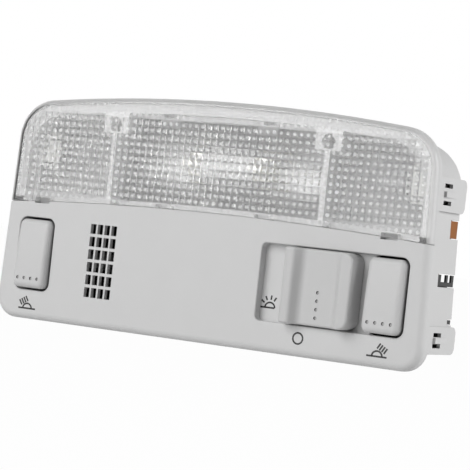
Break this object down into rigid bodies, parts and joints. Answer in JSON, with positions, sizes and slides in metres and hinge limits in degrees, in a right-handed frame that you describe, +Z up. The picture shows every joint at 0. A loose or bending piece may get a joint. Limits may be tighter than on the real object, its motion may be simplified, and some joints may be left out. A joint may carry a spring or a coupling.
{
  "type": "car interior light",
  "caption": "Roof lamp for a car cabin: prism lens over lamp bays, grey fascia with reading-lamp buttons, a sliding selector and a grille, clip-in box behind.",
  "frame": {"origin": "middle of the seat plane, the rear of the rim that lies against the roof lining", "axes": "+X to the right along the face, +Y from the face into the roof, +Z up the face towards the lens"},
  "size_m": [0.205, 0.047, 0.099],
  "materials": {
    "fascia_grey": "fine grained",
    "button_grey": "satin",
    "lens_clear": "clear prisms",
    "reflector_metal": "metallised",
    "bulb_glass": "clear",
    "contact_brass": "tinned",
    "carrier_black": "satin",
    "strip_copper": "stamped copper",
    "spring_steel": "plated",
    "socket_white": "satin",
    "filament_wire": "wire"
  },
  "bodies": {
    "lamp": {"housing": "fascia_grey", "lens": "lens_clear", "reflector_centre": "reflector_metal", "reflector_left": "reflector_metal", "reflector_right": "reflector_metal", "festoon_glass": "bulb_glass", "festoon_caps": "contact_brass", "festoon_filament": "filament_wire", "festoon_contact_left": "contact_brass", "festoon_contact_right": "contact_brass", "wedge_bulb_left": "bulb_glass", "wedge_bulb_right": "bulb_glass", "wedge_filament_left": "filament_wire", "wedge_filament_right": "filament_wire", "bulb_holder_left": "socket_white", "bulb_holder_right": "socket_white", "holder_contacts_left": "contact_brass", "holder_contacts_right": "contact_brass", "button_leaf_left": "contact_brass", "button_leaf_right": "contact_brass", "button_contact_left": "contact_brass", "button_contact_right": "contact_brass", "selector_tracks": "contact_brass", "detent_spring": "spring_steel", "contact_carrier": "carrier_black", "connector_pins": "contact_brass", "busbar_left": "strip_copper", "busbar_centre": "strip_copper", "busbar_right": "strip_copper", "carrier_screws": "spring_steel"},
    "button_left": {"button_left": "button_grey"},
    "button_right": {"button_right": "button_grey"},
    "selector": {"selector_knob": "button_grey", "selector_carriage": "carrier_black", "selector_contact": "contact_brass"}
  },
  "joints": [
    {"name": "button_left_hinge", "type": "hinge", "parent": "lamp", "child": "button_left", "pos_m": [-0.0845, 0.0015, -0.0088], "axis": [1, 0, 0], "range_deg": [0, 4.5], "stiffness_Nm_per_rad": 0.5, "springref_deg": -2.86, "deforming": ["button_leaf_left"]},
    {"name": "button_right_hinge", "type": "hinge", "parent": "lamp", "child": "button_right", "pos_m": [0.0845, 0.0015, -0.0088], "axis": [1, 0, 0], "range_deg": [0, 4.5], "stiffness_Nm_per_rad": 0.5, "springref_deg": -2.86, "deforming": ["button_leaf_right"]},
    {"name": "selector_slide", "type": "slide", "parent": "lamp", "child": "selector", "axis": [1, 0, 0], "range_m": [-0.0125, 0], "deforming": ["detent_spring"]}
  ]
}
